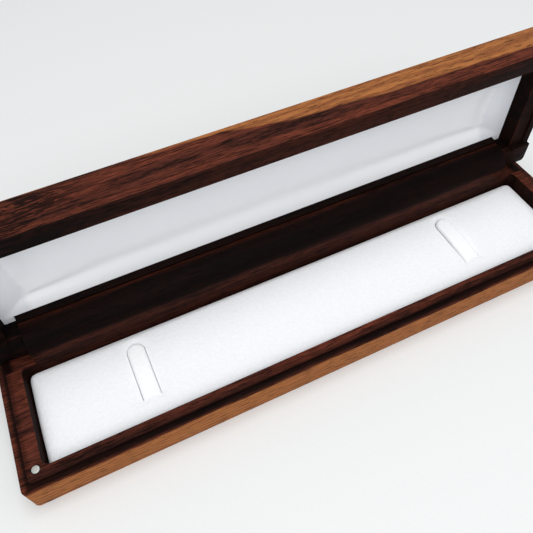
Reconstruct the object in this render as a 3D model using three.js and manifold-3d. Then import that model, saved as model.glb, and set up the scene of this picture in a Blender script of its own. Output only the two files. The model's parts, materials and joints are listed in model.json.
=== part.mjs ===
// A long presentation case for a pen: a solid walnut base with a padded insert, and a walnut
// lid on two hidden pins, shown standing open at a right angle.
//
// Frame: origin at the centre of the underside, +X to the right, +Y to the back, +Z up.
// Lengths are millimetres.

import * as THREE from 'three';
import { mergeVertices } from 'three/addons/utils/BufferGeometryUtils.js';
import Module from 'manifold-3d';

const wasm = await Module();
wasm.setup();

// Outline shared by the base and the lid
const LENGTH = 260;
const DEPTH = 64.5;
const CORNER_RADIUS = 2.5;

// Base
const RIM_HEIGHT = 15.6;
const WELL_FLOOR = 3.5;
const LEDGE_DROP = 2.6;
const FRONT_LEDGE = 2.7;
const END_LEDGE = 3.6;
const RIM_CORNER_RADIUS = 1.5;
const WELL_FRONT_WALL = 6.7;
const WELL_END_WALL = 9.4;
const WELL_CORNER_RADIUS = 3;

// Lid
const LID_HEIGHT = 17.7;
const LID_PANEL = 5.1;
const LIP_DROP = 1;
const LIP_CLEARANCE = 0.4;
const CLOSED_GAP = 0.3;
const POCKET_FRONT_WALL = 7.8;
const POCKET_END_WALL = 9.8;
const POCKET_CORNER_RADIUS = 3;
const OPEN_ANGLE = Math.PI / 2;

// Hinge: two pins on one axis, through the lid's ears into the ends of the base's rail
const AXIS_FROM_BACK = 5.6;
const AXIS_ABOVE_RIM = 3.2;
const RAIL_RADIUS = 9.4;
const COVE_CLEARANCE = 0.3;
const COVE_WALL = 0.8;
const COVE_WALL_ABOVE_AXIS = 1.5;
const EAR_WIDTH = 14.8;
const EAR_DEPTH = 14.1;
const EAR_SIDE_GAP = 0.4;
const EAR_SWING_GAP = 1.7;
const STOP_GAP = 0.3;
const POCKET_TAB = 1.1;
const PIN_DIAMETER = 3;
const PIN_SINK = 0.5;
const PIN_IN_RAIL = 12;

// Closing magnets
const MAGNET_DIAMETER = 3;
const MAGNET_THICKNESS = 2;
const MAGNET_FROM_END = 6.9;
const MAGNET_FROM_FRONT = 6.8;

// Padded insert in the base
const PAD_HEIGHT = 6.4;
const PAD_BOARD = 2;
const PAD_COVER = 0.8;
const TONGUE_WIDTH = 7.4;
const TONGUE_LENGTH = 25;
const TONGUE_THICKNESS = 2.2;
const TONGUE_ROOT_FROM_FRONT = 18;
const TONGUE_SPACING = 151.9;
const TONGUE_PAIR_OFFSET = -1.25;

// Padded lining in the lid
const LINING_BOARD = 1;
const LINING_WADDING = 2.15;
const LINING_CLOTH = 0.8;

const FIT_GAP = 0.3;
const ARC_STEPS = 12;
const OVERCUT = 5;

// Places worked out from the sizes above
const FRONT = -DEPTH / 2;
const BACK = DEPTH / 2;
const END = LENGTH / 2;
const LEDGE_HEIGHT = RIM_HEIGHT - LEDGE_DROP;

const AXIS_Y = BACK - AXIS_FROM_BACK;
const AXIS_Z = RIM_HEIGHT + AXIS_ABOVE_RIM;
const COVE_RADIUS = RAIL_RADIUS + COVE_CLEARANCE;
const EAR_INNER = END - EAR_WIDTH;
const EAR_FRONT = BACK - EAR_DEPTH;
const EAR_BOTTOM = AXIS_Z - AXIS_FROM_BACK;
const RAIL_END = EAR_INNER - EAR_SIDE_GAP;
const NOTCH_FRONT = EAR_FRONT - EAR_SWING_GAP;
const NOTCH_FLOOR = Math.min(LEDGE_HEIGHT, EAR_BOTTOM - STOP_GAP);

const WELL_FRONT = FRONT + WELL_FRONT_WALL;
const WELL_BACK = AXIS_Y - RAIL_RADIUS;
const WELL_END = END - WELL_END_WALL;

const FLANGE_Z = RIM_HEIGHT + CLOSED_GAP;
const LIP_Z = FLANGE_Z - LIP_DROP;
const LID_TOP = FLANGE_Z + LID_HEIGHT;
const POCKET_CEILING = LID_TOP - LID_PANEL;
const POCKET_FRONT = FRONT + POCKET_FRONT_WALL;
const POCKET_END = END - POCKET_END_WALL;
const POCKET_BACK = AXIS_Y - COVE_RADIUS - COVE_WALL;
const POCKET_TAB_BACK = EAR_FRONT + POCKET_TAB;
const POCKET_TAB_INNER = EAR_INNER - FIT_GAP;

const PIN_HOLE_RADIUS = PIN_DIAMETER / 2 + FIT_GAP;
const MAGNET_X = END - MAGNET_FROM_END;
const MAGNET_Y = FRONT + MAGNET_FROM_FRONT;
const MAGNET_HOLE_RADIUS = MAGNET_DIAMETER / 2 + FIT_GAP;

const PAD_BOTTOM = WELL_FLOOR + FIT_GAP;
const PAD_TOP = PAD_BOTTOM + PAD_HEIGHT;
const TONGUE_ROOT_Y = FRONT + TONGUE_ROOT_FROM_FRONT;

// ---------------------------------------------------------------- solids

function toManifold(geometry) {
  geometry.deleteAttribute('normal');
  geometry.deleteAttribute('uv');
  const merged = mergeVertices(geometry);
  return new wasm.Manifold(new wasm.Mesh({
    numProp: 3,
    vertProperties: new Float32Array(merged.attributes.position.array),
    triVerts: new Uint32Array(merged.index.array),
  }));
}

function toGeometry(manifold) {
  const mesh = manifold.getMesh();
  const geometry = new THREE.BufferGeometry();
  geometry.setAttribute('position', new THREE.BufferAttribute(new Float32Array(mesh.vertProperties), 3));
  geometry.setIndex(new THREE.BufferAttribute(new Uint32Array(mesh.triVerts), 1));
  geometry.computeVertexNormals();
  return geometry;
}

function block(x0, x1, y0, y1, z0, z1) {
  const geometry = new THREE.BoxGeometry(x1 - x0, y1 - y0, z1 - z0);
  geometry.translate((x0 + x1) / 2, (y0 + y1) / 2, (z0 + z1) / 2);
  return toManifold(geometry);
}

// A rectangle with round corners, drawn in the XY plane.
function roundedOutline(x0, x1, y0, y1, radius) {
  const shape = new THREE.Shape();
  shape.moveTo(x0 + radius, y0);
  shape.lineTo(x1 - radius, y0);
  shape.absarc(x1 - radius, y0 + radius, radius, -Math.PI / 2, 0);
  shape.lineTo(x1, y1 - radius);
  shape.absarc(x1 - radius, y1 - radius, radius, 0, Math.PI / 2);
  shape.lineTo(x0 + radius, y1);
  shape.absarc(x0 + radius, y1 - radius, radius, Math.PI / 2, Math.PI);
  shape.lineTo(x0, y0 + radius);
  shape.absarc(x0 + radius, y0 + radius, radius, Math.PI, 1.5 * Math.PI);
  return shape;
}

function prismUp(shape, z0, z1) {
  const geometry = new THREE.ExtrudeGeometry(shape, {
    depth: z1 - z0,
    bevelEnabled: false,
    curveSegments: ARC_STEPS / 2,
  });
  geometry.translate(0, 0, z0);
  return toManifold(geometry);
}

function plate(x0, x1, y0, y1, z0, z1, radius) {
  return prismUp(roundedOutline(x0, x1, y0, y1, radius), z0, z1);
}

// A prism along X whose outline is drawn as (y, z).
function prismAcross(shape, x0, x1) {
  const geometry = new THREE.ExtrudeGeometry(shape, {
    depth: x1 - x0,
    bevelEnabled: false,
    curveSegments: 2 * ARC_STEPS,
  });
  geometry.rotateX(Math.PI / 2);
  geometry.rotateZ(Math.PI / 2);
  geometry.translate(x0, 0, 0);
  return toManifold(geometry);
}

function rodAcross(x0, x1, y, z, radius) {
  const geometry = new THREE.CylinderGeometry(radius, radius, x1 - x0, 4 * ARC_STEPS);
  geometry.rotateZ(Math.PI / 2);
  geometry.translate((x0 + x1) / 2, y, z);
  return toManifold(geometry);
}

function disc(x, y, z0, z1, radius) {
  const geometry = new THREE.CylinderGeometry(radius, radius, z1 - z0, 2 * ARC_STEPS);
  geometry.rotateX(Math.PI / 2);
  geometry.translate(x, y, (z0 + z1) / 2);
  return toManifold(geometry);
}

function bothSides(makeOne) {
  return makeOne(-1).add(makeOne(1));
}

function spanFrom(side, inner, outer) {
  return side < 0 ? [-outer, -inner] : [inner, outer];
}

// ---------------------------------------------------------------- base

// The rail stands between the lid's ears. Its front is flush with the well's rear wall, and
// above the axis it turns over in an arc about the axis.
function railProfile() {
  const backAngle = Math.acos(AXIS_FROM_BACK / RAIL_RADIUS);
  const shape = new THREE.Shape();
  shape.moveTo(WELL_BACK, LEDGE_HEIGHT);
  shape.lineTo(BACK, LEDGE_HEIGHT);
  shape.lineTo(BACK, AXIS_Z + RAIL_RADIUS * Math.sin(backAngle));
  shape.absarc(AXIS_Y, AXIS_Z, RAIL_RADIUS, backAngle, Math.PI);
  shape.lineTo(WELL_BACK, LEDGE_HEIGHT);
  return shape;
}

function buildBase() {
  const slab = plate(-END, END, FRONT, BACK, 0, LEDGE_HEIGHT, CORNER_RADIUS);
  const rimEnd = END - END_LEDGE;
  const rim = plate(-rimEnd, rimEnd, FRONT + FRONT_LEDGE, BACK, LEDGE_HEIGHT / 2, RIM_HEIGHT,
    RIM_CORNER_RADIUS);
  const notches = bothSides((side) => {
    const [x0, x1] = spanFrom(side, RAIL_END, END + OVERCUT);
    return block(x0, x1, NOTCH_FRONT, BACK + OVERCUT, NOTCH_FLOOR, RIM_HEIGHT + OVERCUT);
  });
  const rail = prismAcross(railProfile(), -RAIL_END, RAIL_END);
  const well = plate(-WELL_END, WELL_END, WELL_FRONT, WELL_BACK, WELL_FLOOR, RIM_HEIGHT + OVERCUT,
    WELL_CORNER_RADIUS);
  const pinHoles = bothSides((side) => {
    const [x0, x1] = spanFrom(side, RAIL_END - PIN_IN_RAIL, RAIL_END + OVERCUT);
    return rodAcross(x0, x1, AXIS_Y, AXIS_Z, PIN_HOLE_RADIUS);
  });
  const magnetHoles = bothSides((side) => disc(side * MAGNET_X, MAGNET_Y,
    RIM_HEIGHT - MAGNET_THICKNESS - FIT_GAP, RIM_HEIGHT + OVERCUT, MAGNET_HOLE_RADIUS));
  return slab.add(rim).subtract(notches).add(rail).subtract(well).subtract(pinHoles)
    .subtract(magnetHoles);
}

// ---------------------------------------------------------------- lid, drawn shut

// The pocket's outline. Beside the ears a small tab reaches further back than the rest.
function pocketOutline(inset) {
  const x = POCKET_END - inset;
  const tabX = POCKET_TAB_INNER + inset;
  const radius = POCKET_CORNER_RADIUS - inset;
  const y0 = POCKET_FRONT + inset;
  const y1 = POCKET_BACK - inset;
  const y2 = POCKET_TAB_BACK - inset;
  const shape = new THREE.Shape();
  shape.moveTo(-x + radius, y0);
  shape.lineTo(x - radius, y0);
  shape.absarc(x - radius, y0 + radius, radius, -Math.PI / 2, 0);
  shape.lineTo(x, y2);
  shape.lineTo(tabX, y2);
  shape.lineTo(tabX, y1);
  shape.lineTo(-tabX, y1);
  shape.lineTo(-tabX, y2);
  shape.lineTo(-x, y2);
  shape.lineTo(-x, y0 + radius);
  shape.absarc(-x + radius, y0 + radius, radius, Math.PI, 1.5 * Math.PI);
  return shape;
}

// An ear hangs below the flange. Its lower rear corner is round about the axis, so that it
// turns in the notch.
function ears() {
  return bothSides((side) => {
    const [x0, x1] = spanFrom(side, EAR_INNER, END);
    const cheek = block(x0, x1, EAR_FRONT, BACK, EAR_BOTTOM, POCKET_CEILING);
    const corner = block(x0, x1, AXIS_Y, BACK + OVERCUT, EAR_BOTTOM - OVERCUT, AXIS_Z);
    return cheek.subtract(corner.subtract(rodAcross(x0, x1, AXIS_Y, AXIS_Z, AXIS_FROM_BACK)));
  });
}

function buildLid() {
  const slab = plate(-END, END, FRONT, BACK, LIP_Z, LID_TOP, CORNER_RADIUS);
  const underEars = block(-END - OVERCUT, END + OVERCUT, EAR_FRONT, BACK + OVERCUT,
    LIP_Z - OVERCUT, AXIS_Z + COVE_WALL_ABOVE_AXIS);
  const lipEnd = END - END_LEDGE + LIP_CLEARANCE;
  const rebate = block(-lipEnd, lipEnd, FRONT + FRONT_LEDGE - LIP_CLEARANCE, EAR_FRONT,
    LIP_Z - OVERCUT, FLANGE_Z);
  const envelope = plate(-END, END, FRONT, BACK, EAR_BOTTOM - OVERCUT, LID_TOP, CORNER_RADIUS);
  const blank = slab.subtract(underEars).subtract(rebate).add(ears()).intersect(envelope);

  const pocket = prismUp(pocketOutline(0), EAR_BOTTOM - OVERCUT, POCKET_CEILING);
  const cove = rodAcross(-EAR_INNER, EAR_INNER, AXIS_Y, AXIS_Z, COVE_RADIUS);
  const overRail = block(-EAR_INNER, EAR_INNER, POCKET_BACK, BACK + OVERCUT,
    EAR_BOTTOM - OVERCUT, AXIS_Z + COVE_WALL_ABOVE_AXIS);
  const pinHoles = bothSides((side) => {
    const [x0, x1] = spanFrom(side, EAR_INNER - OVERCUT, END + OVERCUT);
    return rodAcross(x0, x1, AXIS_Y, AXIS_Z, PIN_HOLE_RADIUS);
  });
  const magnetHoles = bothSides((side) => disc(side * MAGNET_X, MAGNET_Y, FLANGE_Z - OVERCUT,
    FLANGE_Z + MAGNET_THICKNESS + FIT_GAP, MAGNET_HOLE_RADIUS));
  return blank.subtract(pocket).subtract(cove).subtract(overRail).subtract(pinHoles)
    .subtract(magnetHoles);
}

// ---------------------------------------------------------------- padded insert

// A tongue's outline: square at its root, half round at its free end.
function tongueOutline(centreX, margin) {
  const half = TONGUE_WIDTH / 2 + margin;
  const y0 = TONGUE_ROOT_Y - margin;
  const y1 = TONGUE_ROOT_Y + TONGUE_LENGTH - TONGUE_WIDTH / 2;
  const shape = new THREE.Shape();
  shape.moveTo(centreX - half, y0);
  shape.lineTo(centreX + half, y0);
  shape.lineTo(centreX + half, y1);
  shape.absarc(centreX, y1, half, 0, Math.PI);
  return shape;
}

function tongueX(side) {
  return TONGUE_PAIR_OFFSET + side * TONGUE_SPACING / 2;
}

function insertPlate(inset, z0, z1) {
  return plate(-WELL_END + inset, WELL_END - inset, WELL_FRONT + inset, WELL_BACK - inset, z0, z1,
    WELL_CORNER_RADIUS - inset);
}

function tongueSlots(z0, z1) {
  return bothSides((side) => prismUp(tongueOutline(tongueX(side), FIT_GAP), z0, z1));
}

const FOAM_BOTTOM = PAD_BOTTOM + PAD_BOARD + FIT_GAP;
const FOAM_TOP = PAD_TOP - PAD_COVER - FIT_GAP;
const COVER_INSET = FIT_GAP + PAD_COVER + FIT_GAP;

function buildPadBoard() {
  return insertPlate(COVER_INSET, PAD_BOTTOM, PAD_BOTTOM + PAD_BOARD);
}

function buildPadFoam() {
  const foam = insertPlate(COVER_INSET, FOAM_BOTTOM, FOAM_TOP);
  return foam.subtract(tongueSlots(PAD_TOP - TONGUE_THICKNESS - FIT_GAP, PAD_TOP));
}

function buildPadCover() {
  const outside = insertPlate(FIT_GAP, PAD_BOTTOM, PAD_TOP);
  const inside = insertPlate(FIT_GAP + PAD_COVER, PAD_BOTTOM - OVERCUT, PAD_TOP - PAD_COVER);
  return outside.subtract(inside).subtract(tongueSlots(FOAM_BOTTOM, PAD_TOP + OVERCUT));
}

function buildTongue(side) {
  return prismUp(tongueOutline(tongueX(side), 0), PAD_TOP - TONGUE_THICKNESS, PAD_TOP);
}

// ---------------------------------------------------------------- padded lining, drawn shut

const LINING_BOARD_TOP = POCKET_CEILING - FIT_GAP;
const WADDING_TOP = LINING_BOARD_TOP - LINING_BOARD - FIT_GAP;
const WADDING_BOTTOM = WADDING_TOP - LINING_WADDING;
const LINING_FACE = WADDING_BOTTOM - FIT_GAP - LINING_CLOTH;
const LINING_INSET = FIT_GAP + LINING_CLOTH + FIT_GAP;

function buildLiningBoard() {
  return prismUp(pocketOutline(LINING_INSET), LINING_BOARD_TOP - LINING_BOARD, LINING_BOARD_TOP);
}

function buildLiningWadding() {
  return prismUp(pocketOutline(LINING_INSET), WADDING_BOTTOM, WADDING_TOP);
}

function buildLiningCloth() {
  const outside = prismUp(pocketOutline(FIT_GAP), LINING_FACE, LINING_BOARD_TOP);
  const inside = prismUp(pocketOutline(FIT_GAP + LINING_CLOTH), LINING_FACE + LINING_CLOTH,
    LINING_BOARD_TOP + OVERCUT);
  return outside.subtract(inside);
}

// ---------------------------------------------------------------- hardware

function buildPin(side) {
  const [x0, x1] = spanFrom(side, RAIL_END - PIN_IN_RAIL + FIT_GAP, END - PIN_SINK);
  return rodAcross(x0, x1, AXIS_Y, AXIS_Z, PIN_DIAMETER / 2);
}

function buildMagnet(side, z0) {
  return disc(side * MAGNET_X, MAGNET_Y, z0, z0 + MAGNET_THICKNESS, MAGNET_DIAMETER / 2);
}

// ---------------------------------------------------------------- assembly

const finishes = {
  baseWalnut: { color: 0x6b4430, roughness: 0.5, metalness: 0 },
  lidWalnut: { color: 0x7a4a30, roughness: 0.5, metalness: 0 },
  steel: { color: 0xb9bcc0, roughness: 0.3, metalness: 1 },
  nickel: { color: 0xd8d9da, roughness: 0.2, metalness: 1 },
  board: { color: 0xb8b0a2, roughness: 0.9, metalness: 0 },
  foam: { color: 0xe9e6dc, roughness: 1, metalness: 0 },
  velvet: { color: 0xf4f4f6, roughness: 1, metalness: 0 },
  satin: { color: 0xe2e3e5, roughness: 0.6, metalness: 0 },
};

function part(name, manifold, finish) {
  const mesh = new THREE.Mesh(toGeometry(manifold), new THREE.MeshStandardMaterial(finishes[finish]));
  mesh.name = name;
  return mesh;
}

const group = new THREE.Group();
const base = new THREE.Group();
const lid = new THREE.Group();
group.add(base, lid);

base.add(
  part('base_body', buildBase(), 'baseWalnut'),
  part('hinge_pin_left', buildPin(-1), 'steel'),
  part('hinge_pin_right', buildPin(1), 'steel'),
  part('base_magnet_left', buildMagnet(-1, RIM_HEIGHT - MAGNET_THICKNESS), 'nickel'),
  part('base_magnet_right', buildMagnet(1, RIM_HEIGHT - MAGNET_THICKNESS), 'nickel'),
  part('pad_board', buildPadBoard(), 'board'),
  part('pad_foam', buildPadFoam(), 'foam'),
  part('pad_cover', buildPadCover(), 'velvet'),
  part('pad_tongue_left', buildTongue(-1), 'velvet'),
  part('pad_tongue_right', buildTongue(1), 'velvet'),
);

// The lid is drawn shut about the hinge axis, then turned back to stand open.
const lidParts = [
  part('lid_body', buildLid(), 'lidWalnut'),
  part('lid_magnet_left', buildMagnet(-1, FLANGE_Z), 'nickel'),
  part('lid_magnet_right', buildMagnet(1, FLANGE_Z), 'nickel'),
  part('lid_lining_board', buildLiningBoard(), 'board'),
  part('lid_lining_wadding', buildLiningWadding(), 'foam'),
  part('lid_lining_cloth', buildLiningCloth(), 'satin'),
];
for (const mesh of lidParts) {
  mesh.position.set(0, -AXIS_Y, -AXIS_Z);
  lid.add(mesh);
}
lid.position.set(0, AXIS_Y, AXIS_Z);
lid.rotation.x = -OPEN_ANGLE;

export default group;
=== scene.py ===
"""Looks of a long walnut presentation case for a pen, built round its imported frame."""

from __future__ import annotations

import json
import logging
import math
from dataclasses import dataclass, field
from enum import Enum
from typing import Callable, Iterable

import bmesh
import bpy
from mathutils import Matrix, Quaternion, Vector, noise

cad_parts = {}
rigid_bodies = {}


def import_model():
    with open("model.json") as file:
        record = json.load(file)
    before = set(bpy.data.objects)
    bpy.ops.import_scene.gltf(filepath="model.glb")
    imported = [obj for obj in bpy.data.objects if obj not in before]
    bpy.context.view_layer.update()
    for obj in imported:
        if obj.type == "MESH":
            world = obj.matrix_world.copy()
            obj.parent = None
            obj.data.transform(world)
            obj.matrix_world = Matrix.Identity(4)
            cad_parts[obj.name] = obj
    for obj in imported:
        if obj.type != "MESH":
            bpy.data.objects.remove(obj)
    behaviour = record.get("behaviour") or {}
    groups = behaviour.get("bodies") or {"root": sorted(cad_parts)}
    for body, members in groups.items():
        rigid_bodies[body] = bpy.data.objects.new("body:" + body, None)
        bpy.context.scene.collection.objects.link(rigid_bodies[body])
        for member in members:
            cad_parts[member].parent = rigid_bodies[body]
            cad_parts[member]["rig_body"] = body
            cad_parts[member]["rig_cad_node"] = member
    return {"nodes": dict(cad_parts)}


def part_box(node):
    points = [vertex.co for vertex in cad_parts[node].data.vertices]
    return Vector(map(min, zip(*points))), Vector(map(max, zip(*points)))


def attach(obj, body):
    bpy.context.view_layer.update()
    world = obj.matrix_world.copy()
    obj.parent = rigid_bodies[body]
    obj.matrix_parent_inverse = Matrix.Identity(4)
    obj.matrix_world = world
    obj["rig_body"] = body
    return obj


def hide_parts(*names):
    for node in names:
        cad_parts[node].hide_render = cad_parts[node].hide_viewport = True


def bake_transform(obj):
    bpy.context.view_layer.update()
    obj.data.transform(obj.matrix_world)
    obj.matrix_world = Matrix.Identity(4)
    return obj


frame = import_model()

LOG = logging.getLogger("pen_case")
MM = 0.001
CLEAR = 0.3 * MM          # room between pieces that don't touch
NEAR = 0.1 * MM           # how close to a place counts as at it, when edges are picked
CRISP = 0.2 * MM          # over which a change of tone at an arris takes place
WELD_REACH = 0.002 * MM   # a copied node's corners closer than this are one
Triple = tuple[float, float, float]
Colour = Triple


class Body(Enum):
    """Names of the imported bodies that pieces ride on."""

    BASE = "base"
    LID = "lid"
    TONGUE_LEFT = "tongue_left"
    TONGUE_RIGHT = "tongue_right"


# ---------------------------------------------------------------- shader graph


class Sock:
    """A shader socket that takes part in Python arithmetic."""

    def __init__(self, graph: "Graph", socket: bpy.types.NodeSocket) -> None:
        """Wraps one output socket.

        Args:
            graph: The material graph the socket belongs to.
            socket: The output socket.
        """
        self.graph = graph
        self.socket = socket

    def _math(self, operation: str, *values: "Sock | float") -> "Sock":
        """Adds a Math node.

        Args:
            operation: The Math node's operation.
            values: Its inputs in order.

        Returns:
            The node's value.
        """
        return self.graph.node("ShaderNodeMath", {"operation": operation}, dict(enumerate(values)))

    def __add__(self, other: "Sock | float") -> "Sock":
        """Sum of two values."""
        return self._math("ADD", self, other)

    def __radd__(self, other: float) -> "Sock":
        """Sum with a number on the left."""
        return self._math("ADD", other, self)

    def __sub__(self, other: "Sock | float") -> "Sock":
        """Difference of two values."""
        return self._math("SUBTRACT", self, other)

    def __rsub__(self, other: float) -> "Sock":
        """Difference with a number on the left."""
        return self._math("SUBTRACT", other, self)

    def __mul__(self, other: "Sock | float") -> "Sock":
        """Product of two values."""
        return self._math("MULTIPLY", self, other)

    def __rmul__(self, other: float) -> "Sock":
        """Product with a number on the left."""
        return self._math("MULTIPLY", other, self)

    def root(self) -> "Sock":
        """Square root of the value."""
        return self._math("SQRT", self)

    def size(self) -> "Sock":
        """Value without its sign."""
        return self._math("ABSOLUTE", self)

    def sine(self) -> "Sock":
        """Sine of the value."""
        return self._math("SINE", self)

    def most(self, other: "Sock | float") -> "Sock":
        """Larger of two values."""
        return self._math("MAXIMUM", self, other)

    def ramp(self, low: float, high: float) -> "Sock":
        """Smooth step from 0 at low to 1 at high.

        Args:
            low: Value that gives 0.
            high: Value that gives 1.

        Returns:
            The stepped value.
        """
        settings = {"interpolation_type": "SMOOTHSTEP"}
        inputs = {"Value": self, "From Min": low, "From Max": high}
        return self.graph.node("ShaderNodeMapRange", settings, inputs)


class Graph:
    """Node graph of one material, with its Principled shader."""

    def __init__(self, name: str) -> None:
        """Makes an empty material with a Principled shader.

        Args:
            name: The material's name.
        """
        self.material = bpy.data.materials.new(name)
        self.material.use_nodes = True
        self.tree = self.material.node_tree
        self.shader = self.tree.nodes["Principled BSDF"]

    def node(self, kind: str, settings: dict, inputs: dict, output: str | int = 0) -> Sock:
        """Adds any node.

        Args:
            kind: The node's type name.
            settings: Attributes that are set first.
            inputs: Values or sockets by input name or index.
            output: Name or index of the output that is returned.

        Returns:
            The chosen output.
        """
        made = self.tree.nodes.new(kind)
        for name, value in settings.items():
            setattr(made, name, value)
        for key, value in inputs.items():
            if isinstance(value, Sock):
                self.tree.links.new(value.socket, made.inputs[key])
            else:
                made.inputs[key].default_value = value
        return Sock(self, made.outputs[output])

    def place(self, scale: Triple = (1, 1, 1)) -> Sock:
        """Object coordinates, scaled.

        Args:
            scale: Factor along each axis.

        Returns:
            The vector.
        """
        here = self.node("ShaderNodeTexCoord", {}, {}, "Object")
        return self.node("ShaderNodeMapping", {}, {"Vector": here, "Scale": scale})

    def axis(self, letter: str) -> Sock:
        """One object coordinate in metres."""
        here = self.node("ShaderNodeTexCoord", {}, {}, "Object")
        return self.node("ShaderNodeSeparateXYZ", {}, {"Vector": here}, letter)

    def noise(self, scale: Triple, detail: float = 4, rough: float = 0.55, bend: float = 0) -> Sock:
        """Noise stretched by a scale per axis, per metre.

        Args:
            scale: Frequency along each axis.
            detail: Octaves.
            rough: Weight of the finer octaves.
            bend: Distortion.

        Returns:
            The noise's factor.
        """
        inputs = {
            "Vector": self.place(scale), "Scale": 1.0, "Detail": detail,
            "Roughness": rough, "Distortion": bend,
        }
        return self.node("ShaderNodeTexNoise", {}, inputs, "Fac")

    def mix(self, factor: Sock | float, low: "Sock | Colour", high: "Sock | Colour") -> Sock:
        """Mixes two colours.

        Args:
            factor: 0 for the first colour, 1 for the second.
            low: First colour.
            high: Second colour.

        Returns:
            The mixed colour.
        """
        first = low if isinstance(low, Sock) else (*low, 1)
        second = high if isinstance(high, Sock) else (*high, 1)
        inputs = {0: factor, 6: first, 7: second}
        return self.node("ShaderNodeMix", {"data_type": "RGBA"}, inputs, 2)

    def bump(self, height: Sock, strength: float, distance: float) -> None:
        """Feeds a height into the shader's normal.

        Args:
            height: Height from 0 to 1.
            strength: How far the bump counts.
            distance: Height of a full step in metres.
        """
        inputs = {"Height": height, "Strength": strength, "Distance": distance}
        self.feed("Normal", self.node("ShaderNodeBump", {}, inputs))

    def feed(self, name: str, value: Sock) -> None:
        """Links a varying value to one of the shader's sockets."""
        self.tree.links.new(value.socket, self.shader.inputs[name])

    def fix(self, **values: float) -> None:
        """Sets constants on the shader, with underscores for the spaces in their names."""
        for name, value in values.items():
            self.shader.inputs[name.replace("_", " ")].default_value = value


# ---------------------------------------------------------------- finishes


class Cut(Enum):
    """Which block of walnut a piece is cut from."""

    BASE = "base"
    LID = "lid"


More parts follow.
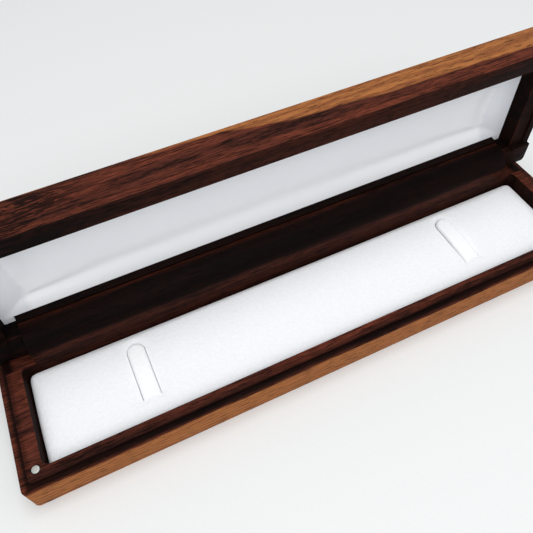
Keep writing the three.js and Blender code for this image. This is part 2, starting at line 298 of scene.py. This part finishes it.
@dataclass(frozen=True)
class Walnut:
    """Oiled walnut with dark heartwood and an orange-brown sapwood edge.

    Attributes:
        name: The material's name.
        cut: Which block it is.
        dark: Colour of the latewood lines.
        heart: Colour of the heartwood.
        red: Colour of the redder streaks.
        sap: Colour of the sapwood.
        sap_line: Colour of the lines in the sapwood.
        deep: Colour of the painted shade on the faces inside.
        ring: Growth-ring wave, in radians per metre.
        sap_top: Height of the base's sapwood at its front.
        sap_lean: How fast that height falls away from the front.
        sap_width: Greatest width of the lid's sapwood.
        sap_drop: How fast the lid's sapwood narrows down its outer face.
    """

    name: str
    cut: Cut
    dark: Colour = (0.0075, 0.0026, 0.002)
    heart: Colour = (0.056, 0.0158, 0.0105)
    red: Colour = (0.175, 0.041, 0.021)
    sap: Colour = (0.4, 0.15, 0.046)
    sap_line: Colour = (0.26, 0.088, 0.031)
    deep: Colour = (0.0016, 0.0009, 0.0007)
    ring: float = 2900
    sap_top: float = 12.7 * MM
    sap_lean: float = 1.6
    sap_width: float = 12.2 * MM
    sap_drop: float = 0.8

    def base_sapwood(self, graph: Graph) -> Sock:
        """Mask of the base's sapwood: low along its front, with a wavy edge."""
        front, blur = 32.2 * MM, (-0.5 * MM, 0.6 * MM)
        wave = graph.noise((16, 60, 60), 3) - 0.5
        fine = graph.noise((70, 900, 900), 3) - 0.5
        from_front = graph.axis("Y") + front
        edge = graph.axis("Z") + from_front * self.sap_lean - self.sap_top
        edge = edge + wave * (3 * MM) + fine * (1.2 * MM)
        return 1 - edge.ramp(*blur)

    def lid_sapwood(self, graph: Graph) -> Sock:
        """Mask of the lid's sapwood: along its outer front edge, wider to the right."""
        outer, top, blur = 41.4 * MM, 77.7 * MM, (-0.5 * MM, 0.9 * MM)
        narrow_at, wide_at = -55 * MM, 55 * MM
        wave = graph.noise((17, 70, 70), 3) - 0.5
        fine = graph.noise((60, 800, 800), 3) - 0.5
        width = graph.axis("X").ramp(narrow_at, wide_at) * self.sap_width
        inwards = outer - graph.axis("Y") + (top - graph.axis("Z")) * self.sap_drop
        edge = width - inwards + wave * (9 * MM) + fine * (2.2 * MM) - 0.4 * MM
        return edge.ramp(*blur)

    def base_painted_shade(self, graph: Graph) -> Sock:
        """Painted shade on the base's inner faces: the well, the rail, and the corner of the ledge.
        """
        well_end, well_front, well_back, rim = 120.9 * MM, -25.8 * MM, 17.4 * MM, 15.5 * MM
        rail_face, rail_turn, rail_over = 17.25 * MM, (16.5 * MM, 21 * MM), (25 * MM, 31 * MM)
        ledge_end, ledge_front, ledge_top = 126.4 * MM, -29.55 * MM, 13 * MM
        across, along, up = graph.axis("X").size(), graph.axis("Y"), graph.axis("Z")
        well = (well_end - across).ramp(0, CRISP) * (along - well_front).ramp(0, CRISP)
        well = well * (well_back - along).ramp(0, CRISP) * (rim - up).ramp(0, CRISP)
        rail_front = 1 - (along - rail_face).size().ramp(0.3 * MM, 0.6 * MM)
        wander = (graph.noise((14, 90, 90), 3) - 0.5) * (4 * MM)
        over, back = rail_over
        rail_top = (up + wander).ramp(*rail_turn) * (back - along).ramp(0, back - over)
        out = (across - ledge_end).most(ledge_front - along).size()
        above = up - ledge_top
        reach = above.most(0) * 0.75 + (0 - above).most(0) * 2
        corner = 1 - (out * out + reach * reach).root().ramp(0.9 * MM, 3.2 * MM)
        return (well * 0.85).most(rail_front * 0.55).most(rail_top * 0.96).most(corner * 0.9)

    def lid_painted_shade(self, graph: Graph) -> Sock:
        """Painted shade on the lid's inner faces: the pocket, and the flange towards its ends."""
        pocket_end, pocket_top, pocket_foot = 120.5 * MM, 70.2 * MM, 14.6 * MM
        pocket_mouth, pocket_back, flange_face = 24 * MM, 37.6 * MM, 23.97 * MM
        across, along, up = graph.axis("X"), graph.axis("Y"), graph.axis("Z")
        side = (pocket_end - across.size()).ramp(0, CRISP) * (pocket_top - up).ramp(0, CRISP)
        level = (along - pocket_mouth).ramp(0, CRISP) * (pocket_back - along).ramp(0, CRISP)
        pocket = side * level * (up - pocket_foot).ramp(0, 2 * CRISP)
        one_at_end = 59
        from_middle = across * across * one_at_end
        flange = (flange_face - along).ramp(0, CRISP / 2) * (from_middle * 0.24 + 0.7)
        return (pocket * 0.95).most(flange)

    def material(self) -> bpy.types.Material:
        """Builds the material."""
        graph = Graph(self.name)
        is_base = self.cut is Cut.BASE
        drift = graph.noise((9, 34, 34), 3) - 0.5
        depth = graph.axis("Z") + graph.axis("Y") * 0.45 + drift * 0.014
        line = (depth * self.ring).sine()
        fibre = graph.noise((95, 1900, 1900), 5, 0.72)
        fleck = graph.noise((240, 1500, 1500), 3, 0.6)
        figure = graph.noise((34, 620, 620), 4, 0.62, 0.5)
        broad = graph.noise((9, 130, 130), 3, 0.55, 0.4)
        streak = line * 0.03 + fibre * 0.45 + fleck * 0.2 + figure * 0.27 + broad * 0.08
        heart = graph.mix(streak.ramp(0.4, 0.56), self.dark, self.heart)
        patchy = broad.ramp(0.36, 0.58) * 0.75 + fleck.ramp(0.4, 0.62) * 0.25
        rosy = fibre.ramp(0.32, 0.6) * patchy
        to_right = graph.axis("X").ramp(-130 * MM, -30 * MM)
        rosy = rosy * 0.8 if is_base else rosy * (to_right * 0.35 + 0.75)
        heart = graph.mix(rosy, heart, self.red)
        if not is_base:
            smoky = graph.noise((75, 360, 360), 5, 0.7, 1.4).ramp(0.47, 0.55)
            to_left = (-60 * MM - graph.axis("X")).ramp(0, 30 * MM)
            heart = graph.mix(smoky * to_left * 0.92, heart, self.dark)
        grain = line * 0.05 + streak
        sap = graph.mix(grain.ramp(0.38, 0.6), self.sap_line, self.sap)
        mask = self.base_sapwood(graph) if is_base else self.lid_sapwood(graph)
        colour = graph.mix(mask, heart, sap)
        pores = graph.noise((190, 3200, 3200), 2, 0.5).ramp(0.56, 0.64)
        colour = graph.mix(pores * 0.7, colour, self.dark)
        # Painted shade: the well, the rail, the ledge corner, the lid's pocket and its flange are
        # darkened towards near black.
        painted_shade = self.base_painted_shade(graph) if is_base else self.lid_painted_shade(graph)
        graph.feed("Base Color", graph.mix(painted_shade, colour, self.deep))
        graph.feed("Roughness", 0.5 + fibre * 0.2 + pores * 0.12)
        graph.bump(fibre * 0.5 - pores * 0.8, 0.4, 0.14 * MM)
        graph.fix(Specular_IOR_Level=0.05)
        return graph.material


@dataclass(frozen=True)
class Velvet:
    """Short-pile white velvet.

    Attributes:
        name: The material's name.
        light: Colour of the brushed pile.
        shade: Colour between the tufts.
    """

    name: str
    light: Colour = (0.955, 0.96, 0.965)
    shade: Colour = (0.87, 0.88, 0.905)

    def material(self) -> bpy.types.Material:
        """Builds the material."""
        graph = Graph(self.name)
        pile = graph.noise((4200, 4200, 4200), 3, 0.7)
        nap = graph.noise((55, 75, 75), 3, 0.5)
        tuft = graph.noise((780, 780, 780), 3, 0.6).ramp(0.35, 0.68)
        tone = pile * 0.25 + nap * 0.2 + tuft * 0.4
        graph.feed("Base Color", graph.mix(tone, self.light, self.shade))
        graph.feed("Roughness", 0.86 + pile * 0.12)
        graph.bump(pile * 0.6 + tuft * 0.4, 0.6, 0.22 * MM)
        graph.fix(Sheen_Weight=0.35, Sheen_Roughness=0.5, Specular_IOR_Level=0.15)
        return graph.material


@dataclass(frozen=True)
class Satin:
    """Pale woven lining cloth with a slight gloss.

    Attributes:
        name: The material's name.
        light: Lighter colour of the cloth, also the painted light along the foot.
        shade: Darker colour of the cloth, also the painted shade above the foot and on the end
            facets.
        thread: Weave, in radians per metre.
        foot: Heights between which the painted light along the foot fades into the painted shade
            above.
        facet: Distances from mid-length between which the painted shade on the end facets begins.
    """

    name: str
    light: Colour = (0.96, 0.962, 0.968)
    shade: Colour = (0.77, 0.785, 0.825)
    thread: float = 5200
    foot: tuple[float, float] = (34 * MM, 50 * MM)
    facet: tuple[float, float] = (105.5 * MM, 109 * MM)

    def material(self) -> bpy.types.Material:
        """Builds the material."""
        graph = Graph(self.name)
        warp = (graph.axis("X") * self.thread).sine()
        weft = (graph.axis("Z") * self.thread).sine()
        weave = warp * weft * 0.5 + 0.5
        cloud = graph.noise((26, 60, 60), 3)
        # Painted light along the foot, painted shade above it and on the end facets; the weave and
        # cloud are the cloth's own tone.
        dull_and_painted_shade = graph.axis("Z").ramp(*self.foot)
        ragged = (graph.noise((60, 60, 130), 3) - 0.5) * (9 * MM)
        facet = (graph.axis("X").size() + ragged).ramp(*self.facet)
        tone = weave * 0.2 + cloud * 0.3 + (dull_and_painted_shade * 0.4).most(facet * 0.75)
        graph.feed("Base Color", graph.mix(tone, self.light, self.shade))
        graph.feed("Roughness", 0.5 + weave * 0.12)
        graph.bump(weave, 0.3, 0.06 * MM)
        graph.fix(Sheen_Weight=0.2, Specular_IOR_Level=0.3)
        return graph.material


@dataclass(frozen=True)
class Metal:
    """Plated or ground metal.

    Attributes:
        name: The material's name.
        colour: Its colour where it is clean.
        rough: Its least roughness.
    """

    name: str
    colour: Colour = (0.8, 0.8, 0.79)
    rough: float = 0.25

    def material(self) -> bpy.types.Material:
        """Builds the material."""
        graph = Graph(self.name)
        wear = graph.noise((1800, 1800, 1800), 4, 0.6)
        dull_and_painted_shade = tuple(0.78 * channel for channel in self.colour)
        graph.feed("Base Color", graph.mix(wear.ramp(0.45, 0.75), self.colour, dull_and_painted_shade))
        graph.feed("Roughness", wear * 0.2 + self.rough)
        graph.fix(Metallic=1)
        return graph.material


@dataclass(frozen=True)
class Fill:
    """Board, foam or wadding under the cloth.

    Attributes:
        name: The material's name.
        colour: Its lighter colour.
        grain: Specks per metre.
    """

    name: str
    colour: Colour
    grain: float

    def material(self) -> bpy.types.Material:
        """Builds the material."""
        graph = Graph(self.name)
        speck = graph.noise((self.grain, self.grain, self.grain), 4, 0.65)
        deep = tuple(0.7 * channel for channel in self.colour)
        graph.feed("Base Color", graph.mix(speck, deep, self.colour))
        graph.feed("Roughness", 0.8 + speck * 0.2)
        graph.bump(speck, 0.5, 0.2 * MM)
        return graph.material


# ---------------------------------------------------------------- mesh helpers


def only(piece: bpy.types.Object) -> None:
    """Selects and activates one object alone."""
    if bpy.context.object and bpy.context.object.mode != "OBJECT":
        bpy.ops.object.mode_set(mode="OBJECT")
    bpy.ops.object.select_all(action="DESELECT")
    piece.select_set(True)
    bpy.context.view_layer.objects.active = piece


def settle(piece: bpy.types.Object) -> None:
    """Puts an object's place, turn and size into its mesh."""
    only(piece)
    bpy.ops.object.transform_apply(location=True, rotation=True, scale=True)


def modify(piece: bpy.types.Object, kind: str, **settings: object) -> None:
    """Adds a modifier and applies it.

    Args:
        piece: The object.
        kind: The modifier's type.
        settings: Its attributes.
    """
    only(piece)
    modifier = piece.modifiers.new(kind.lower(), kind)
    for name, value in settings.items():
        setattr(modifier, name, value)
    bpy.ops.object.modifier_apply(modifier=modifier.name)


def smooth(piece: bpy.types.Object, angle: float = 32) -> None:
    """Shades a piece smooth up to an angle in degrees."""
    only(piece)
    bpy.ops.object.shade_smooth_by_angle(angle=math.radians(angle))


def copy_node(node: str, name: str, flat: float) -> bpy.types.Object:
    """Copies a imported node, joins its loose faces and merges its flat ones.

    Args:
        node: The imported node.
        name: The copy's name.
        flat: Angle in degrees up to which faces count as flat.

    Returns:
        The copy, not yet riding on a body.
    """
    source = frame["nodes"][node]
    piece = source.copy()
    piece.data = source.data.copy()
    piece.parent = None
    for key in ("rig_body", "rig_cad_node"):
        if key in piece:
            del piece[key]
    piece.name = name
    bpy.context.scene.collection.objects.link(piece)
    modify(piece, "WELD", merge_threshold=WELD_REACH)
    modify(piece, "DECIMATE", decimate_type="DISSOLVE", angle_limit=math.radians(flat))
    return piece


def dress(piece: bpy.types.Object, finish: bpy.types.Material) -> None:
    """Gives a piece its only material."""
    piece.data.materials.clear()
    piece.data.materials.append(finish)


def cuboid(name: str, low: Vector, high: Vector) -> bpy.types.Object:
    """A box primitive between two corners, to be shaped further.

    Args:
        name: The object's name.
        low: Lowest corner.
        high: Highest corner.

    Returns:
        The object.
    """
    bpy.ops.object.select_all(action="DESELECT")
    bpy.ops.mesh.primitive_cube_add(size=1, location=(low + high) / 2)
    piece = bpy.context.object
    piece.name = name
    piece.data.name = name
    piece.scale = high - low
    settle(piece)
    return piece


def select_edges(piece: bpy.types.Object, wanted: Callable[[Vector, Vector], bool]) -> None:
    """Enters edit mode with the edges selected that a test on their ends picks.

    Args:
        piece: The object.
        wanted: Test on an edge's two ends.
    """
    only(piece)
    bpy.ops.object.mode_set(mode="EDIT")
    bpy.ops.mesh.select_mode(type="EDGE")
    bpy.ops.mesh.select_all(action="DESELECT")
    mesh = bmesh.from_edit_mesh(piece.data)
    for edge in mesh.edges:
        edge.select = wanted(edge.verts[0].co, edge.verts[1].co)
    mesh.select_flush_mode()
    bmesh.update_edit_mesh(piece.data)


def bevel_selected(width: float, segments: int) -> None:
    """Rounds the selected edges and leaves edit mode."""
    bpy.ops.mesh.bevel(offset=width, segments=segments, affect="EDGES")
    bpy.ops.object.mode_set(mode="OBJECT")


def swell(
    piece: bpy.types.Object, voxel: float, pressure: float, cap: float, frames: int = 20,
) -> None:
    """Inflates a closed form as cloth, with each point's move limited.

    Args:
        piece: The closed form.
        voxel: Remesh size in metres.
        pressure: Cloth pressure.
        cap: Furthest that a point may move, in metres.
        frames: How long the cloth swells.
    """
    modify(piece, "REMESH", mode="VOXEL", voxel_size=voxel)
    start = [vertex.co.copy() for vertex in piece.data.vertices]
    only(piece)
    cloth = piece.modifiers.new("cloth", "CLOTH")
    cloth.settings.use_pressure = True
    cloth.settings.uniform_pressure_force = pressure
    cloth.settings.effector_weights.gravity = 0
    cloth.settings.quality = 4
    cloth.point_cache.frame_start = 1
    cloth.point_cache.frame_end = frames
    for step in range(1, frames + 1):
        bpy.context.scene.frame_set(step)
    bpy.ops.object.modifier_apply(modifier=cloth.name)
    for vertex, before in zip(piece.data.vertices, start):
        move = vertex.co - before
        if move.length > cap:
            vertex.co = before + move * (cap / move.length)
    bpy.context.scene.frame_set(1)


# ---------------------------------------------------------------- sub-assemblies


@dataclass
class WoodBlock:
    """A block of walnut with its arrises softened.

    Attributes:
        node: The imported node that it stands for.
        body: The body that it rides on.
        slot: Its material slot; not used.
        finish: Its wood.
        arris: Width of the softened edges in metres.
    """

    node: str
    body: Body
    slot: str
    finish: Walnut
    arris: float = 0.3 * MM

    def build(self) -> bpy.types.Object:
        """Copies the node and softens its edges."""
        piece = copy_node(self.node, f"{self.node}_wood", 0.6)
        modify(
            piece, "BEVEL", width=self.arris, segments=2, limit_method="ANGLE",
            angle_limit=math.radians(35), use_clamp_overlap=True, harden_normals=False,
        )
        smooth(piece)
        return piece

    def make(self) -> bpy.types.Object:
        """Builds, dresses and mounts the block."""
        piece = self.build()
        dress(piece, self.finish.material())
        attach(piece, self.body.value)
        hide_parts(self.node)
        return piece


@dataclass
class Insert:
    """The padded insert in the base, with its two tongues.

    Attributes:
        edge: Radius of the cover's top edge in metres.
        corner: Radius of its upright corners.
        shrink: Room left for the cover to swell.
        slit: Width of the slit round a tongue.
        bend: Length over which a tongue's root bends; not used.
        tuck: How far a tongue's root is held inside the cover.
        voxel: Remesh size of the cover.
        pressure: Cloth pressure in the cover.
        round_steps: Facets round an edge or corner of the cover.
        tongue_edge: Radius of a tongue's top edge.
        tongue_voxel: Remesh size of a tongue.
        dent: How far the cover sinks beside a slit.
        dent_reach: How far from the slit it sinks.
        lift_left: How far the left tongue's tip stands proud.
        lift_right: How far the right tongue's tip stands proud.
        lift_rate: How soon along its length a tongue reaches that lift.
        finish: The velvet of the cover.
        tongue_lit_finish: The same velvet made whiter on the tongues, as painted light where they
            stand proud.
    """

    edge: float = 1.9 * MM
    corner: float = 2.6 * MM
    shrink: float = 0.35 * MM
    slit: float = 0.2 * MM
    bend: float = 4 * MM
    tuck: float = 0.6 * MM
    voxel: float = 1.1 * MM
    pressure: float = 3
    round_steps: int = 6
    tongue_edge: float = 1 * MM
    tongue_voxel: float = 0.4 * MM
    dent: float = 0.75 * MM
    dent_reach: float = 1.7 * MM
    lift_left: float = 0.7 * MM
    lift_right: float = 1.1 * MM
    lift_rate: float = 1.6
    finish: Velvet = field(default_factory=lambda: Velvet("white_velvet"))
    # Painted light: a whiter copy of the cover's velvet for the tongues.
    tongue_lit_finish: Velvet = field(default_factory=lambda: Velvet(
        "tongue_lit_velvet", light=(0.985, 0.985, 0.985), shade=(0.94, 0.945, 0.955),
    ))

    def build_cover(self) -> bpy.types.Object:
        """Makes the swollen cover with rounded edges."""
        low, high = map(Vector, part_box("pad_cover"))
        inset = Vector((self.shrink, self.shrink, 0))
        piece = cuboid("insert_cover", low + inset, high - inset - Vector((0, 0, self.shrink)))
        select_edges(piece, lambda a, b: abs(a.z - b.z) > MM)
        bevel_selected(self.corner, self.round_steps)
        top = high.z - self.shrink
        select_edges(piece, lambda a, b: min(a.z, b.z) > top - NEAR)
        bevel_selected(self.edge, self.round_steps)
        swell(piece, self.voxel, self.pressure, self.shrink)
        modify(piece, "SUBSURF", levels=1, render_levels=1)
        for node in ("pad_tongue_left", "pad_tongue_right"):
            self.sink_beside(piece, node, high.z)
        return piece

    @staticmethod
    def from_outline(place: Vector, low: Vector, high: Vector) -> float:
        """Distance from a tongue's outline, seen from above, with its root left open.

        Args:
            place: The point.
            low: Lowest corner of the tongue.
            high: Its highest corner.

        Returns:
            Distance in metres.
        """
        radius = (high.x - low.x) / 2
        middle = (high.x + low.x) / 2
        centre = high.y - radius
        if place.y > centre:
            return abs(math.hypot(place.x - middle, place.y - centre) - radius)
        before = max(0.0, low.y - place.y)
        return math.hypot(abs(abs(place.x - middle) - radius), before)

    def sink_beside(self, piece: bpy.types.Object, node: str, top: float) -> None:
        """Lets the cover sink softly towards the slit round a tongue."""
        low, high = map(Vector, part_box(node))
        for vertex in piece.data.vertices:
            if vertex.co.z > top - MM:
                away = self.from_outline(vertex.co, low, high) / self.dent_reach
                vertex.co.z -= self.dent * math.exp(-away * away)

    def tongue_form(
        self, name: str, node: str, margin: float, root: float, low_z: float, high_z: float,
    ) -> bpy.types.Object:
        """A bar with a half-round free end, over a tongue's place.

        Args:
            name: The object's name.
            node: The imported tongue.
            margin: How far it is larger round its sides and tip.
            root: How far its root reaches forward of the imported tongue.
            low_z: Its underside.
            high_z: Its top.

        Returns:
            The form.
        """
        low, high = map(Vector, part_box(node))
        piece = cuboid(
            name,
            Vector((low.x - margin, low.y - root, low_z)),
            Vector((high.x + margin, high.y + margin, high_z)),
        )
        tip = high.y + margin
        select_edges(piece, lambda a, b: abs(a.z - b.z) > MM and min(a.y, b.y) > tip - NEAR)
        almost_half = (high.x - low.x) / 2 + margin - 0.02 * MM
        bevel_selected(almost_half, 2 * self.round_steps)
        return piece

    def cut_slots(self, cover: bpy.types.Object) -> None:
        """Cuts both tongues' slots into the cover, with a closed bed below each tongue."""
        for node in ("pad_tongue_left", "pad_tongue_right"):
            low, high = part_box(node)
            tool = self.tongue_form(
                "slot_tool", node, self.slit, CLEAR, low[2] - CLEAR, high[2] + 2 * MM,
            )
            modify(cover, "BOOLEAN", operation="DIFFERENCE", object=tool, solver="MANIFOLD")
            bpy.data.objects.remove(tool)

    def build_tongue(self, side: str, lift: float) -> bpy.types.Object:
        """Makes one soft tongue whose tip stands a little proud.

        Args:
            side: left or right.
            lift: How far the tip stands proud in metres.

        Returns:
            The tongue.
        """
        node = f"pad_tongue_{side}"
        low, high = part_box(node)
        name, root = f"insert_tongue_{side}", CLEAR + self.tuck
        piece = self.tongue_form(name, node, 0, root, low[2], high[2])
        free, top = low[1] + MM, high[2] - NEAR
        select_edges(piece, lambda a, b: min(a.z, b.z) > top and max(a.y, b.y) > free)
        bevel_selected(self.tongue_edge, 4)
        modify(piece, "REMESH", mode="VOXEL", voxel_size=self.tongue_voxel)
        modify(piece, "SMOOTH", factor=0.5, iterations=4)
        length = high[1] - low[1]
        for vertex in piece.data.vertices:
            along = max(0.0, (vertex.co.y - low[1]) / length)
            vertex.co.z += lift * math.sin(min(1.0, along * self.lift_rate) * math.pi / 2)
        return piece

    def make(self) -> list[bpy.types.Object]:
        """Builds and dresses the insert, and mounts its cover on the base."""
        finish = self.finish.material()
        cover = self.build_cover()
        self.cut_slots(cover)
        smooth(cover, 40)
        dress(cover, finish)
        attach(cover, Body.BASE.value)
        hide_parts("pad_cover", "pad_foam", "pad_board")
        made = [cover]
        # Painted light: the tongues get the whiter copy of the velvet.
        lit_velvet = self.tongue_lit_finish.material()
        plan = (
            ("left", Body.TONGUE_LEFT, self.lift_left),
            ("right", Body.TONGUE_RIGHT, self.lift_right),
        )
        for side, body, lift in plan:
            tongue = self.build_tongue(side, lift)
            smooth(tongue, 50)
            dress(tongue, lit_velvet)
            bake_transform(tongue)
            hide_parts(f"pad_tongue_{side}")
            made.append(tongue)
        return made


@dataclass
class Lining:
    """The lid's padded lining: a shallow dish with soft folds along its foot and ends.

    Attributes:
        dish: How deep the middle lies behind the rim, in metres.
        fold: How much deeper the cloth lies along the crease, near the ends.
        foot: Height of the sloping strip along the foot, at mid-length.
        end: Width of the sloping facet at each end.
        head: Height of the slope along the top.
        cells: Grid cells along the length.
        tab_width: Width of the tab at each lower corner.
        tab_height: How far a tab reaches below the foot.
        thickness: Cloth and wadding together.
        wander: Waves per metre along and up, and the place in the noise.
        sharp: How crisp the folds are at mid-length, and how much crisper at the ends.
        crease_width: Width of the crease at mid-length, and how much less at the ends.
        finish: The cloth.
    """

    dish: float = 1.55 * MM
    fold: float = 1.15 * MM
    foot: float = 8.5 * MM
    end: float = 12 * MM
    head: float = 7 * MM
    cells: int = 320
    tab_width: float = 4.7 * MM
    tab_height: float = 3.1 * MM
    thickness: float = 0.7 * MM
    wander: Triple = (38, 60, 3.7)
    sharp: tuple[float, float] = (7, 12)
    crease_width: tuple[float, float] = (0.5, 0.22)
    finish: Satin = field(default_factory=lambda: Satin("pale_satin"))

    def depth(self, x: float, z: float, low: Vector, high: Vector) -> float:
        """How far the cloth lies behind the lining's rim at a point.

        Args:
            x: Place along the length.
            z: Height.
            low: Lowest corner of the lining.
            high: Highest corner.

        Returns:
            Depth in metres.
        """
        half = (high.x - low.x) / 2
        along = min(1.0, abs(x - (low.x + high.x) / 2) / half)
        rise = min(1.0, max(0.0, (z - low.z) / (high.z - low.z)))
        by_length, by_height, seed = self.wander
        wander = noise.noise(Vector((x * by_length, z * by_height, seed)))
        end = self.end * (0.75 + 0.4 * math.sin(math.pi * rise) + 0.25 * wander)
        foot = self.foot * (1 - 0.35 * along ** 3 + 0.12 * wander)
        slopes = ((z - low.z) / foot, (high.z - z) / self.head, half * (1 - along) / end)
        sharp = self.sharp[0] + self.sharp[1] * along ** 2
        far = 3
        near = -math.log(sum(math.exp(-sharp * min(s, far)) for s in (*slopes, 1.0))) / sharp
        width = self.crease_width[0] - self.crease_width[1] * along ** 2
        beside = (min(slopes[0], slopes[2]) - 1) / width
        crease = math.exp(-beside * beside) * (0.5 + 0.5 * along ** 2)
        return self.dish * max(0.0, min(1.0, near)) + self.fold * crease * min(1.0, slopes[1])

    def build(self) -> bpy.types.Object:
        """Makes the dished sheet in the outline of the lid's pocket and gives it its thickness."""
        low, high = map(Vector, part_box("lid_lining_cloth"))
        length = high.x - low.x
        height = high.z - low.z
        rows = round(self.cells * height / length)
        bpy.ops.object.select_all(action="DESELECT")
        bpy.ops.mesh.primitive_grid_add(
            x_subdivisions=self.cells, y_subdivisions=rows, size=1,
            location=((low.x + high.x) / 2, low.y, (low.z + high.z) / 2),
            rotation=(math.pi / 2, 0, 0),
        )
        piece = bpy.context.object
        piece.name = piece.data.name = "lid_lining_panel"
        piece.scale = (length, height, 1)
        settle(piece)
        foot = low.z + self.tab_height
        only(piece)
        bpy.ops.object.mode_set(mode="EDIT")
        mesh = bmesh.from_edit_mesh(piece.data)
        for face in mesh.faces:
            centre = face.calc_center_median()
            face.select = centre.z < foot and abs(centre.x) < high.x - self.tab_width
        bmesh.update_edit_mesh(piece.data)
        bpy.ops.mesh.delete(type="FACE")
        bpy.ops.object.mode_set(mode="OBJECT")
        shaped = Vector((low.x, low.y, foot))
        for vertex in piece.data.vertices:
            vertex.co.y += self.depth(vertex.co.x, max(vertex.co.z, foot), shaped, high)
        modify(piece, "SOLIDIFY", thickness=self.thickness, offset=-1)
        return piece

    def make(self) -> bpy.types.Object:
        """Builds, dresses and mounts the lining."""
        piece = self.build()
        smooth(piece, 60)
        dress(piece, self.finish.material())
        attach(piece, Body.LID.value)
        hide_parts("lid_lining_cloth", "lid_lining_wadding")
        return piece


@dataclass
class Hardware:
    """Magnets and hinge pins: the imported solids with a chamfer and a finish.

    Attributes:
        chamfer: Width of the softened edge in metres.
        nickel: Finish of the magnets.
        steel: Finish of the pins.
    """

    chamfer: float = 0.18 * MM
    nickel: Metal = field(
        default_factory=lambda: Metal("magnet_nickel", (0.56, 0.56, 0.53), 0.5)
    )
    steel: Metal = field(default_factory=lambda: Metal("pin_steel", (0.7, 0.71, 0.72), 0.3))

    def make(self) -> list[bpy.types.Object]:
        """Builds, dresses and mounts each piece."""
        nickel, steel = self.nickel.material(), self.steel.material()
        plan = (
            ("base_magnet", Body.BASE, nickel, "magnet_nickel"),
            ("lid_magnet", Body.LID, nickel, "magnet_nickel"),
            ("hinge_pin", Body.BASE, steel, "pin_steel"),
        )
        made = []
        for stem, body, finish, slot in plan:
            for side in ("left", "right"):
                node = f"{stem}_{side}"
                piece = copy_node(node, f"{node}_metal", 1)
                modify(piece, "BEVEL", width=self.chamfer, segments=3, angle_limit=math.radians(50))
                smooth(piece)
                dress(piece, finish)
                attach(piece, body.value)
                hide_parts(node)
                made.append(piece)
        return made


@dataclass
class Studio:
    """Floor, light and camera.

    Attributes:
        place: The camera's place in metres.
        aim: Direction of view.
        roll: Turn about that direction in radians.
        lens: Focal length in millimetres.
        sensor: Width of the sensor in millimetres.
        key: The light above: its place, side length in metres and watts.
        fill: The light in front.
        room: Colour of the light from all round.
        room_strength: How strong that is.
    """

    place: Triple = (-0.06953, -0.11875, 0.21517)
    aim: Triple = (0.22996, 0.55238, -0.80125)
    roll: float = -0.0553
    lens: float = 38.16
    sensor: float = 36
    key: tuple[Triple, float, float] = ((0.05, 0.12, 1.0), 0.5, 2.8)
    fill: tuple[Triple, float, float] = ((-0.1, -0.6, 0.85), 0.7, 4.8)
    room: Colour = (0.95, 0.97, 1)
    room_strength: float = 0.55

    def add_camera(self) -> None:
        """Adds the scene's camera."""
        camera = bpy.data.objects.new("camera", bpy.data.cameras.new("camera"))
        bpy.context.scene.collection.objects.link(camera)
        camera.data.sensor_width = self.sensor
        camera.data.lens = self.lens
        camera.data.clip_start = 0.005
        camera.location = self.place
        level = Vector(self.aim).to_track_quat("-Z", "Y")
        camera.rotation_mode = "QUATERNION"
        camera.rotation_quaternion = level @ Quaternion((0, 0, 1), self.roll)
        bpy.context.scene.camera = camera

    def add_floor(self) -> None:
        """Adds the pale floor."""
        bpy.ops.object.select_all(action="DESELECT")
        bpy.ops.mesh.primitive_plane_add(size=6, location=(0, 0, -0.02 * MM))
        floor = bpy.context.object
        floor.name = "floor"
        graph = Graph("pale_floor")
        speck = graph.noise((900, 900, 900), 3)
        graph.feed("Base Color", graph.mix(speck, (0.8, 0.81, 0.8), (0.84, 0.85, 0.84)))
        graph.fix(Roughness=0.9)
        floor.data.materials.append(graph.material)

    def add_light(self, name: str, place: Triple, size: float, power: float) -> None:
        """Adds a square area light that looks at the case.

        Args:
            name: Its name.
            place: Where it hangs.
            size: Side length in metres.
            power: Watts.
        """
        light = bpy.data.objects.new(name, bpy.data.lights.new(name, "AREA"))
        bpy.context.scene.collection.objects.link(light)
        light.data.size = size
        light.data.energy = power
        light.location = place
        light.rotation_mode = "QUATERNION"
        light.rotation_quaternion = (-Vector(place)).to_track_quat("-Z", "Y")

    def make(self) -> None:
        """Adds everything."""
        self.add_camera()
        self.add_floor()
        self.add_light("key", *self.key)
        self.add_light("fill", *self.fill)
        bpy.context.scene.view_settings.view_transform = "Standard"
        world = bpy.data.worlds.new("room")
        world.use_nodes = True
        background = world.node_tree.nodes["Background"].inputs
        background["Color"].default_value = (*self.room, 1)
        background["Strength"].default_value = self.room_strength
        bpy.context.scene.world = world


def dress_board() -> None:
    """Gives the board behind the lining, which stays as packed, its finish."""
    board = frame["nodes"]["lid_lining_board"]
    board.material_slots[0].material = Fill("grey_board", (0.5, 0.46, 0.38), 1500).material()


def main() -> None:
    """Builds the case and its studio."""
    logging.basicConfig(level=logging.INFO, format="%(message)s")
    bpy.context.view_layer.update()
    Studio().make()
    made = [
        WoodBlock("base_body", Body.BASE, "base_walnut", Walnut("base_walnut", Cut.BASE)).make(),
        WoodBlock("lid_body", Body.LID, "lid_walnut", Walnut("lid_walnut", Cut.LID)).make(),
        *Insert().make(),
        Lining().make(),
        *Hardware().make(),
    ]
    dress_board()
    for piece in made:
        LOG.info("%s: %d faces", piece.name, len(piece.data.polygons))


if __name__ == "__main__":
    main()
